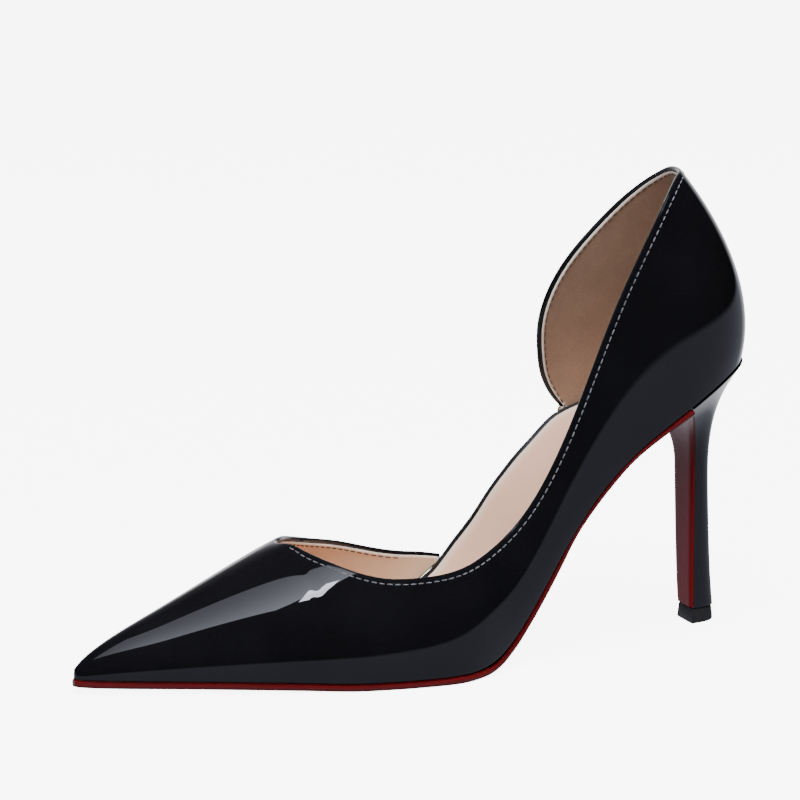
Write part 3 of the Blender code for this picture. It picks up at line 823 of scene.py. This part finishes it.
def sock_leather():
    finish = Finish(
        "sock_leather", Roughness=0.42, Specular_IOR_Level=0.45, Coat_Weight=0.12, Coat_Roughness=0.3
    )
    pores = finish.noise(1500.0, 3.0)
    drift = finish.noise(28.0, 3.0, 0.55)
    rim = finish.share("rim")
    body = finish.blend(drift, (0.84, 0.49, 0.34), (0.91, 0.57, 0.42))
    colour = finish.blend(rim, body, (0.95, 0.76, 0.62))
    finish.feed(Base_Color=colour, Roughness=0.36 + 0.16 * pores)
    finish.feed(Normal=finish.emboss(drift, 0.0010, 0.2, finish.emboss(pores, 0.00006)))
    return finish.material


sock_rings = plate_rings(SOCK_TOE, SEAT_PLATE_END, sock_insets, sock_edge)
sock = close_loft("sock_sheet", sock_rings)
rim_share = sock.data.attributes.new("rim", "FLOAT", "POINT")
rim_values = []
for ring in sock_rings:
    ends = ring[0], ring[ACROSS_STEPS]
    for point in ring:
        near = min(np.linalg.norm(point - end) for end in ends)
        rim_values.append(max(1 - near / SOCK_RIM, 0.0))
rim_share.data.foreach_set("value", rim_values)
finish_piece(sock, sock_leather(), "sock_leather", "sock_lining")


# Outsole. Red lacquered leather from the toe tip to the heel's breast, with a dark groove where it meets
# the upper and a rounded lower edge. It is glued on and thinner under the shank.

SOLE_SHANK = 1.7
SHANK_FROM = 0.49
SHANK_TO = 0.62
SEAT_FORWARD = 28.5
SEAT_BREAST = LENGTH - SEAT_FORWARD
SOLE_TIP = 0.3


def sole_thickness(u):
    share = min(max((u / LENGTH - SHANK_FROM) / (SHANK_TO - SHANK_FROM), 0.0), 1.0)
    return SOLE + (SOLE_SHANK - SOLE) * share * share * (3 - 2 * share)


def station_of(u):
    """Station of the feather line's point at a length along the shoe."""
    if u <= SEAT_START:
        return u
    return SEAT_START + SEAT_ROUND * math.asin(min((u - SEAT_START) / SEAT_ROUND, 1.0))


def sole_edge(station):
    thick = sole_thickness(station)
    return (
        (-0.05, -1.3),
        (-0.05, -0.75),
        (-GAP - thick * 0.10, -0.55),
        (-GAP - thick * 0.18, -0.08),
        (-GAP - thick * 0.34, 0.05),
        (-GAP - thick * 0.64, 0.05),
        (-GAP - thick * 0.86, -0.12),
        (-GAP - thick * 0.97, -0.42),
        (-GAP - thick, -0.9),
    )


def red_lacquer(name, gloss, dark, light):
    """Red lacquer over leather, with faint long rub marks."""
    finish = Finish(name, Roughness=0.3, Specular_IOR_Level=0.15, Coat_Weight=gloss, Coat_Roughness=0.06)
    rubs = finish.noise(60.0, 5.0, 0.65, finish.stretched(0.3, 1.6, 1.0))
    drift = finish.noise(22.0, 3.0)
    finish.feed(Base_Color=finish.blend(0.5 * rubs + 0.5 * drift, dark, light))
    finish.feed(Roughness=0.24 + 0.2 * rubs, Normal=finish.emboss(finish.noise(700.0, 3.0), 0.00005))
    return finish.material


def no_inset(station):
    return {OUTER: 0.0, INNER: 0.0}


sole_rings = plate_rings(SOLE_TIP, station_of(SEAT_BREAST - GAP), no_inset, sole_edge)
outsole = close_loft("outsole_sheet", sole_rings)
red_sole = red_lacquer("red_sole", 0.35, (0.095, 0.005, 0.006), (0.14, 0.009, 0.010))
finish_piece(outsole, red_sole, "red_sole_leather", "outsole")


# Heel. A slim moulded plastic heel, covered in the same black leather. Its stem is D-shaped with a flat
# breast in front, and flares out to the seat, to which it is screwed from inside.

STEM_FORWARD = 18.9
STEM_BREAST = LENGTH - STEM_FORWARD
STEM_RAKE = 1.5
STEM_SIDE = -1.5
STEM_DEPTH = 7.4
STEM_WIDTH = 13.6
STEM_TOP = 52.0
STEM_TAPER = 0.6
BACK_SQUARE = 0.9
TIP_DEPTH = 9.2
TIP_WIDTH = 9.8
TOP_PIECE = 5.0
FLARE_RISE = 0.53
FLARE_DROP = 0.25
FLARE_REACH = 0.60
RIM_INSET = 0.2
BREAST_STEPS = 8
BACK_STEPS = 56
STEM_RINGS = 12
FLARE_RINGS = 26
HEEL_PASSES = 6
HEEL_SMOOTH = 50.0
FRONT_SHARE = BREAST_STEPS / (BREAST_STEPS + BACK_STEPS)
AROUND = BREAST_STEPS + BACK_STEPS


def stem_place(z, around):
    """Point of the heel's stem: a flat breast, then a round back from the arch side to the outer side."""
    share = min(max((z - TOP_PIECE) / (STEM_TOP - TOP_PIECE), 0.0), 1.0) ** STEM_TAPER
    width = TIP_WIDTH + (STEM_WIDTH - TIP_WIDTH) * share
    depth = TIP_DEPTH + (STEM_DEPTH - TIP_DEPTH) * share
    breast = STEM_BREAST + STEM_RAKE * (1 - share)
    if around <= FRONT_SHARE:
        return np.array([breast, STEM_SIDE + (2 * around / FRONT_SHARE - 1) * width / 2, z])
    turn = math.pi * (around - FRONT_SHARE) / (1 - FRONT_SHARE)
    back = max(math.sin(turn), 0.0) ** BACK_SQUARE
    return np.array([breast + depth * back, STEM_SIDE + math.cos(turn) * width / 2, z])


def seat_place(around):
    """Point of the heel's rim under the seat."""
    first = station_of(SEAT_BREAST)
    if around <= FRONT_SHARE:
        share = around / FRONT_SHARE
        u, v = foot(OUTER, first, RIM_INSET) * (1 - share) + foot(INNER, first, RIM_INSET) * share
        return deck(u, v, -GAP)
    turn = 2 * (around - FRONT_SHARE) / (1 - FRONT_SHARE)
    side, share = (INNER, turn) if turn <= 1 else (OUTER, 2 - turn)
    return deck(*foot(side, first + (STATION_END - first) * share, RIM_INSET), -GAP)


def heel_place(level, around):
    """Point of the heel: level 0 to 1 up the stem, then 1 to 2 out along the flare to the seat."""
    if level <= 1:
        low = TOP_PIECE + GAP
        return stem_place(low + (STEM_TOP - low) * level, around)
    start, end = stem_place(STEM_TOP, around), seat_place(around)
    tall = end[2] - start[2]
    side = (start - end) * np.array([1.0, 1.0, 0.0])
    rise = start + np.array([0.0, 0.0, FLARE_RISE * tall])
    fall = end + side * FLARE_REACH - np.array([0.0, 0.0, FLARE_DROP * tall])
    return on_rib((start, rise, fall, end), level - 1)


levels = [k / STEM_RINGS for k in range(STEM_RINGS)] + [1 + k / FLARE_RINGS for k in range(FLARE_RINGS + 1)]
heel_rings = np.array([[heel_place(level, k / AROUND) for k in range(AROUND)] for level in levels])
for _ in range(HEEL_PASSES):
    heel_rings[1:-1] = heel_rings[:-2] * 0.25 + heel_rings[1:-1] * 0.5 + heel_rings[2:] * 0.25
heel = close_loft("heel_body", heel_rings, HEEL_SMOOTH)
finish_piece(heel, patent("heel_cover"), "heel_cover", "heel")


# Breast flap. The red sole leather carried on down the front of the heel, skived thin and glued to its
# flat breast, with softly rounded long edges.

FLAP = 0.9
FLAP_LOW = 0.01
FLAP_HIGH = 1.895
FLAP_RINGS = 60
FLAP_SINK = 0.05
FLAP_ROUND = (0.55, 0.9, 1.0)
FLAP_SMOOTH = 60.0
LEVEL_STEP = 0.01


def flap_face(level):
    """Breast line of the heel at a level, from the outer side in, with its directions forward."""
    step = LEVEL_STEP
    side_way = heel_place(level, FRONT_SHARE) - heel_place(level, 0.0)
    line = []
    for k in range(BREAST_STEPS * 2 + 1):
        around = FRONT_SHARE * k / (BREAST_STEPS * 2)
        up_way = heel_place(level + step, around) - heel_place(level - step, around)
        forward = np.cross(up_way, side_way)
        forward *= -1 if forward[0] > 0 else 1
        line.append((heel_place(level, around), forward / np.linalg.norm(forward)))
    return line


def flap_ring(level):
    """Section of the flap at a level, thinner at both long edges."""
    line = flap_face(level)
    last = len(line) - 1
    back = [here + forward * FLAP_SINK for here, forward in line]
    front = []
    for k, (here, forward) in enumerate(line):
        near = min(k, last - k)
        rise = FLAP_ROUND[min(near, 2)]
        front.append(here + forward * (GAP + FLAP) * rise)
    return back + front[::-1]


flap_levels = [FLAP_LOW + (FLAP_HIGH - FLAP_LOW) * k / FLAP_RINGS for k in range(FLAP_RINGS + 1)]
flap = close_loft("breast_cover", np.array([flap_ring(level) for level in flap_levels]), FLAP_SMOOTH)
red_breast = red_lacquer("red_breast", 0.05, (0.13, 0.003, 0.004), (0.20, 0.005, 0.006))
finish_piece(flap, red_breast, "red_sole_leather", "breast_flap")


# Top piece. The replaceable tip of dense black rubber under the heel, pinned up into the stem, with a
# slight flare to the floor and fine sanding marks round its side.

TOP_ROWS = ((0.0, 0.0), (0.12, 0.32), (0.45, 0.5), (2.5, 0.3), (4.7, 0.02), (5.0, -0.2))
FLAP_COVER = 0.5


def rubber():
    finish = Finish("heel_rubber", Roughness=0.55, Specular_IOR_Level=0.4)
    scuffs = finish.noise(160.0, 5.0, 0.7, finish.stretched(1.0, 1.0, 0.25))
    finish.feed(Base_Color=finish.blend(scuffs, (0.006, 0.006, 0.007), (0.035, 0.034, 0.036)))
    finish.feed(Roughness=0.45 + 0.25 * scuffs, Normal=finish.emboss(finish.noise(900.0), 0.0001, 0.6))
    return finish.material


top_middle = np.array([STEM_BREAST + STEM_RAKE + TIP_DEPTH / 2, STEM_SIDE, 0.0])
top_rings = []
for z, flare in TOP_ROWS:
    ring = []
    for k in range(AROUND):
        point = stem_place(TOP_PIECE, k / AROUND)
        out = (point - top_middle) * np.array([1.0, 1.0, 0.0])
        point = point + out / np.linalg.norm(out) * flare
        ring.append(np.array([point[0] - (GAP + FLAP) * FLAP_COVER, point[1], z]))
    top_rings.append(ring)
top_piece = close_loft("top_piece_rubber", np.array(top_rings), HEEL_SMOOTH)
finish_piece(top_piece, rubber(), "heel_rubber", "top_piece")


# Stage. A pale floor that runs out of the picture, a pale wall far behind it that only the camera sees,
# and soft boxes in a dark room. The room's own light is pale behind the shoe and grey below it.

FLOOR_SIZE = 14.0
WALL_RADIUS = 7.0
WALL_HEIGHT = 7.0
WALL_SUNK = 0.5
WALL_SIDES = 96
FLOOR_GLOW = 7.0
ROOM_DARK = (0.003, 0.003, 0.004)
ROOM_BELOW = (0.42, 0.44, 0.53)
ROOM_BEHIND = (1.5, 1.5, 1.6)
HORIZON_DROP = 0.03
HORIZON_SHARP = 30.0
BEHIND_FROM = 0.45
BEHIND_SHARP = 3.0
BEHIND_FALL = 1.2
BEHIND_REACH = 1.15


def glow(name, base, strength):
    finish = Finish(name, Roughness=0.9, Specular_IOR_Level=0.0)
    finish.shader.inputs["Base Color"].default_value = (base, base, base, 1.0)
    finish.shader.inputs["Emission Color"].default_value = (1.0, 1.0, 1.0, 1.0)
    finish.shader.inputs["Emission Strength"].default_value = strength
    return finish.material


bpy.ops.mesh.primitive_plane_add(size=FLOOR_SIZE)
floor = bpy.context.object
floor.name = "floor"
floor.data.materials.append(glow("pale_floor", 0.8, FLOOR_GLOW))
floor.visible_glossy = False
floor.visible_diffuse = False
bpy.ops.mesh.primitive_cylinder_add(
    radius=WALL_RADIUS, depth=WALL_HEIGHT, vertices=WALL_SIDES, end_fill_type="TRIFAN"
)
backdrop = bpy.context.object
backdrop.name = "backdrop"
backdrop.location.z = WALL_HEIGHT / 2 - WALL_SUNK
backdrop.data.materials.append(glow("pale_wall", 0.0, FLOOR_GLOW))
backdrop.visible_diffuse = False
backdrop.visible_glossy = False
backdrop.visible_shadow = False


class Room(Finish):
    """The world's own light, built like a finish."""

    def __init__(self, name):
        self.world = bpy.data.worlds.new(name)
        self.world.use_nodes = True
        self.tree = self.world.node_tree
        self.shader = self.tree.nodes["Background"]
        self.place = self.node("ShaderNodeTexCoord", output="Generated")


room = Room("dark_room")
split = room.node("ShaderNodeSeparateXYZ", None, {0: room.place})
rightward, inward, upward = (Wire(room, split.socket.node.outputs[k]) for k in range(3))
below = (0.5 - HORIZON_SHARP * (upward + HORIZON_DROP)).held()
low_down = (BEHIND_REACH - BEHIND_FALL * upward).held()
not_left = (BEHIND_SHARP * rightward + BEHIND_REACH).held()
behind = ((inward - BEHIND_FROM) * BEHIND_SHARP).held() * low_down * not_left
colour = room.blend(behind, room.blend(below, ROOM_DARK, ROOM_BELOW), ROOM_BEHIND)
room.feed(Color=colour)
bpy.context.scene.world = room.world


def direction(azimuth, elevation):
    """Unit direction from the shoe. Azimuth is 0 on the camera's side and -90 beyond the toe."""
    a, e = math.radians(azimuth), math.radians(elevation)
    return np.array([math.sin(a) * math.cos(e), -math.cos(a) * math.cos(e), math.sin(e)])


SHOE_MIDDLE = np.array([-0.05, -0.01, 0.03])
COOL_LIGHT = (0.84, 0.86, 1.0)
CARD_AZIMUTH, CARD_ELEVATION, CARD_DISTANCE = -58.0, 64.0, 1.6
CARD_WIDTH, CARD_HEIGHT = 0.92, 0.56
CARD_DIM, CARD_BRIGHT = 0.30, 5.5
CARD_RAMP = 2.2
soft_boxes = [
    # name, azimuth, elevation, distance, width, height, brightness, seen in gloss
    ("edge_box", -27.0, 57.0, 1.40, 0.05, 0.20, 28.0, True),
    ("fill_box", 10.0, 72.0, 2.0, 1.4, 1.4, 12.0, False),
    ("side_fill", -50.0, 25.0, 2.2, 1.4, 0.8, 5.0, False),
]
for name, azimuth, elevation, distance, width, height, brightness, glossy in soft_boxes:
    light = bpy.data.lights.new(name, "AREA")
    light.shape = "RECTANGLE"
    light.size, light.size_y = width, height
    light.energy = brightness * math.pi * width * height
    light.color = COOL_LIGHT if glossy else (1.0, 1.0, 1.0)
    lamp = bpy.data.objects.new(name, light)
    way = direction(azimuth, elevation)
    lamp.location = Vector(SHOE_MIDDLE + way * distance)
    lamp.visible_glossy = glossy
    lamp.rotation_euler = Vector(-way).to_track_quat("-Z", "Y").to_euler()
    bpy.context.scene.collection.objects.link(lamp)


def bright_card():
    """Diffusing card over the toe, brighter to its rear end, as the long highlight on the vamp shows it."""
    finish = Finish("bright_card", Roughness=1.0, Specular_IOR_Level=0.0)
    finish.shader.inputs["Base Color"].default_value = (0.0, 0.0, 0.0, 1.0)
    finish.shader.inputs["Emission Strength"].default_value = CARD_BRIGHT
    over = finish.node("ShaderNodeTexCoord", output="Generated")
    across = finish.node("ShaderNodeSeparateXYZ", None, {0: over}, "X")
    dim = tuple(CARD_DIM * part for part in COOL_LIGHT)
    finish.feed(Emission_Color=finish.blend(across ** CARD_RAMP, dim, COOL_LIGHT))
    return finish.material


card_mesh = bpy.data.meshes.new("card")
half_wide, half_high = CARD_WIDTH / 2, CARD_HEIGHT / 2
corners = [(x * half_wide, y * half_high, 0) for x, y in ((-1, -1), (1, -1), (1, 1), (-1, 1))]
card_mesh.from_pydata(corners, [], [(0, 1, 2, 3)])
card_mesh.materials.append(bright_card())
card = bpy.data.objects.new("card", card_mesh)
card_way = direction(CARD_AZIMUTH, CARD_ELEVATION)
card.location = Vector(SHOE_MIDDLE + card_way * CARD_DISTANCE)
card.rotation_euler = Vector(-card_way).to_track_quat("-Z", "Y").to_euler()
card.visible_camera = False
card.visible_shadow = False
bpy.context.scene.collection.objects.link(card)


# Camera. It stands on the outer side, a little to the toe and above the floor, with a long lens.

VIEW_PLACE = (-0.4622, -1.0741, 0.3497)
VIEW_TURN = math.radians(-23.0)
VIEW_LIFT = math.radians(12.8)
VIEW_LENS = 169.15
VIEW_SENSOR = 36.0

eye = bpy.data.cameras.new("camera")
eye.sensor_width = VIEW_SENSOR
eye.lens = VIEW_LENS
camera = bpy.data.objects.new("camera", eye)
camera.location = VIEW_PLACE
back = Vector((
    math.sin(VIEW_TURN) * math.cos(VIEW_LIFT),
    -math.cos(VIEW_TURN) * math.cos(VIEW_LIFT),
    math.sin(VIEW_LIFT),
))
camera.rotation_euler = (-back).to_track_quat("-Z", "Y").to_euler()
bpy.context.scene.collection.objects.link(camera)
bpy.context.scene.camera = camera
